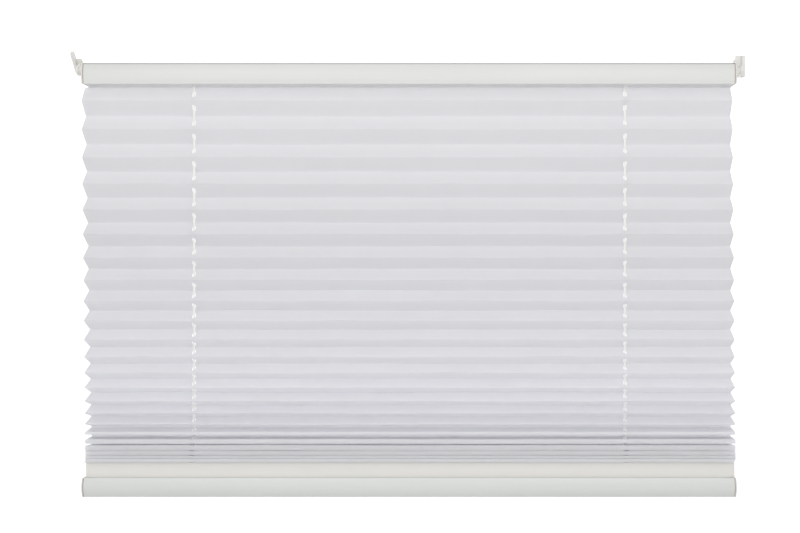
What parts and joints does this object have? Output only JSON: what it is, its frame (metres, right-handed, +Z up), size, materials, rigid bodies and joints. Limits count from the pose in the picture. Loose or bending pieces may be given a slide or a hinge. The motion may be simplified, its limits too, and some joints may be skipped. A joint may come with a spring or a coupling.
{
  "type": "pleated blind",
  "caption": "Pleated window blind: slim head rail with swivel end brackets, folded light-filtering cloth on two lift cords, and a weighted bottom rail that slides up and down.",
  "frame": {"origin": "middle of the head rail's flat top face", "axes": "+X along the rails to the right as seen from the room, +Y towards the window or wall, +Z up; the room side is -Y"},
  "size_m": [0.8314, 0.0275, 0.546],
  "materials": {
    "rail_aluminium": "satin off-white powder coat",
    "bottom_aluminium": "satin off-white powder coat",
    "cap_plastic": "moulded, fine matte",
    "bracket_plastic": "moulded, satin",
    "strip_plastic": "extruded, matte cream white",
    "inner_plastic": "moulded, plain",
    "cloth": "fine woven polyester, light-filtering",
    "cord": "braided polyester",
    "steel": "zinc plated",
    "spring_steel": "oiled spring steel"
  },
  "bodies": {
    "head": {"head_rail": "rail_aluminium", "head_rail_cap_left": "cap_plastic", "head_rail_cap_right": "cap_plastic", "pivot_pin_left": "steel", "pivot_pin_right": "steel", "top_cloth_strip": "strip_plastic", "pleated_cloth": "cloth", "lift_cord_left": "cord", "lift_cord_right": "cord", "spool_cradle_left": "inner_plastic", "spool_cradle_right": "inner_plastic", "spring_plug": "inner_plastic", "balance_spring": "spring_steel"},
    "bracket_left_swing": {"bracket_left": "bracket_plastic"},
    "bracket_right_swing": {"bracket_right": "bracket_plastic"},
    "winding_shaft": {"drive_shaft": "steel", "cord_spool_left": "inner_plastic", "cord_spool_right": "inner_plastic", "spring_hub": "inner_plastic"},
    "bottom": {"bottom_rail": "bottom_aluminium", "bottom_rail_cap_left": "cap_plastic", "bottom_rail_cap_right": "cap_plastic", "bottom_cloth_strip": "strip_plastic", "bottom_weight": "steel", "cord_grommet_left": "cap_plastic", "cord_grommet_right": "cap_plastic", "cord_stop_left": "inner_plastic", "cord_stop_right": "inner_plastic"}
  },
  "joints": [
    {"name": "lift", "type": "slide", "parent": "head", "child": "bottom", "axis": [0, 0, 1], "range_m": [-0.12, 0.42], "deforming": ["pleated_cloth", "lift_cord_left", "lift_cord_right"]},
    {"name": "bracket_left_pivot", "type": "hinge", "parent": "head", "child": "bracket_left_swing", "pos_m": [-0.4, 0.003, -0.0065], "axis": [1, 0, 0], "range_deg": [-38, 2]},
    {"name": "bracket_right_pivot", "type": "hinge", "parent": "head", "child": "bracket_right_swing", "pos_m": [0.4, 0.003, -0.0065], "axis": [1, 0, 0], "range_deg": [0, 40]},
    {"name": "shaft_spin", "type": "hinge", "parent": "head", "child": "winding_shaft", "pos_m": [0, 0.004, -0.01135], "axis": [1, 0, 0], "range_deg": [-1620, 5620]}
  ],
  "couplings": [
    {"joint": "shaft_spin", "follows": "lift", "rad_per_m": 232.56}
  ]
}
